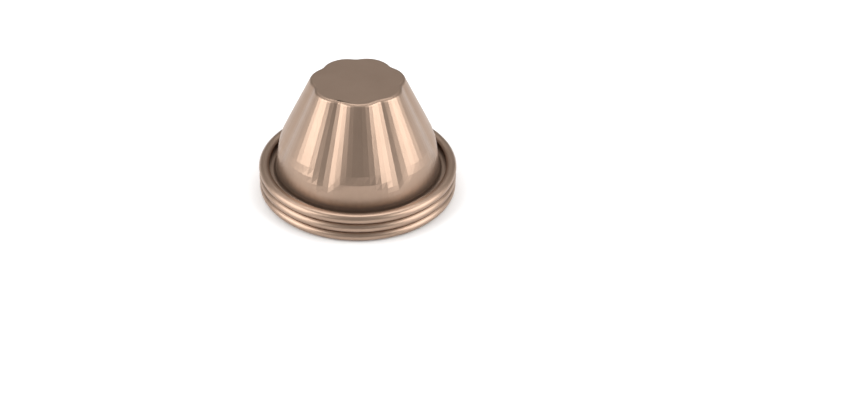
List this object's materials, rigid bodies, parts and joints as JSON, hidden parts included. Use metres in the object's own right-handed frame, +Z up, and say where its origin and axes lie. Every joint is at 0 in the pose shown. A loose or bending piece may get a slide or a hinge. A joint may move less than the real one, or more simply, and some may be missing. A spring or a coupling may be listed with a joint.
{
  "type": "brioche mould",
  "caption": "Fluted brioche moulds nested upside down, with a flat base, a round collar and a rolled rim.",
  "frame": {"origin": "middle of the underside of the lowest rim, where the stack rests", "axes": "+Z up along the moulds' axis, away from the mouths; -Y is the front in the picture"},
  "size_m": [0.084, 0.084, 0.0512],
  "materials": {
    "bottom_coat": "satin metallic non-stick coat",
    "middle_coat": "satin metallic non-stick coat",
    "top_coat": "satin metallic non-stick coat"
  },
  "bodies": {
    "bottom": {"bottom_mould": "bottom_coat"},
    "middle": {"middle_mould": "middle_coat"},
    "top": {"top_mould": "top_coat"}
  },
  "joints": [
    {"name": "middle_lift", "type": "slide", "parent": "bottom", "child": "middle", "axis": [0, 0, 1], "range_m": [0, 0.046]},
    {"name": "top_lift", "type": "slide", "parent": "middle", "child": "top", "axis": [0, 0, 1], "range_m": [0, 0.046]}
  ]
}
